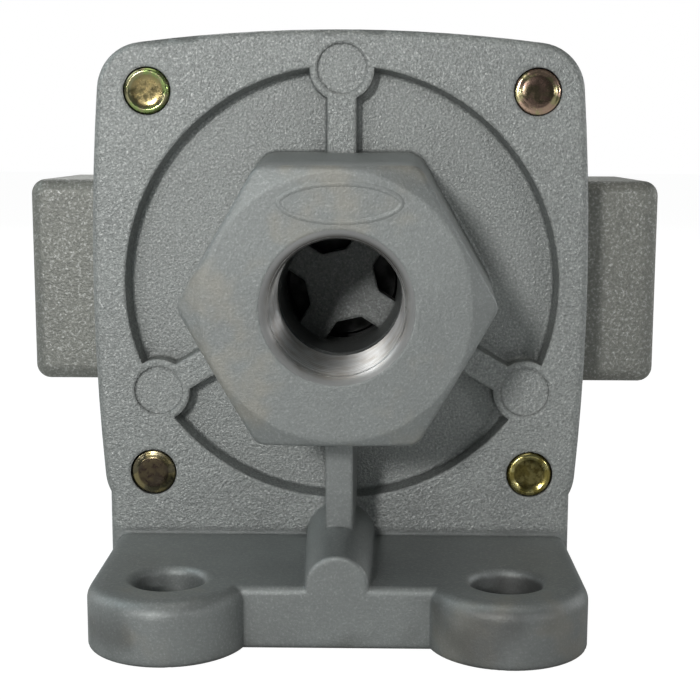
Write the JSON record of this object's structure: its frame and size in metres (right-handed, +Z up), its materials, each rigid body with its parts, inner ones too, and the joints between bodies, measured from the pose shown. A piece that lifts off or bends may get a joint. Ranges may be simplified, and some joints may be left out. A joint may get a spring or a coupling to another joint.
{
  "type": "cut-off valve",
  "caption": "Diaphragm cut-off valve for compressed air: hexagonal inlet port in front, a port at each side, exhaust port behind, and a foot to bolt it down by.",
  "frame": {"origin": "underside of the foot, midway between its two bolt holes", "axes": "+X to the right and +Z up as seen from the front, +Y from the inlet port towards the exhaust port"},
  "size_m": [0.1112, 0.095, 0.0946],
  "materials": {
    "cast_aluminium": "as cast, fine grain",
    "body_casting": "as cast, fine grain",
    "yellow_zinc": "yellow passivated zinc",
    "spring_steel": "bright drawn wire",
    "plated_steel": "zinc plated",
    "blackened_steel": "oil-blackened",
    "bush_brass": "machined",
    "machined_aluminium": "machined",
    "black_rubber": "matte"
  },
  "bodies": {
    "housing": {"front_cover": "cast_aluminium", "rear_body": "body_casting", "cover_o_ring": "black_rubber", "return_spring": "spring_steel", "spring_seat": "machined_aluminium", "guide_bush": "bush_brass", "clamp_screw_1": "yellow_zinc", "clamp_screw_2": "yellow_zinc", "clamp_screw_3": "yellow_zinc", "clamp_screw_4": "yellow_zinc", "lock_washer_1": "yellow_zinc", "lock_washer_2": "yellow_zinc", "lock_washer_3": "yellow_zinc", "lock_washer_4": "yellow_zinc"},
    "valve_disc": {"diaphragm": "black_rubber", "front_disc": "blackened_steel", "rear_disc": "plated_steel", "stem": "plated_steel", "stem_nut": "blackened_steel", "stem_lock_washer": "blackened_steel"}
  },
  "joints": [
    {"name": "disc_slide", "type": "slide", "parent": "housing", "child": "valve_disc", "axis": [0, 1, 0], "range_m": [0, 0.003], "stiffness_N_per_m": 400, "springref_m": -0.004, "deforming": ["return_spring"]}
  ]
}
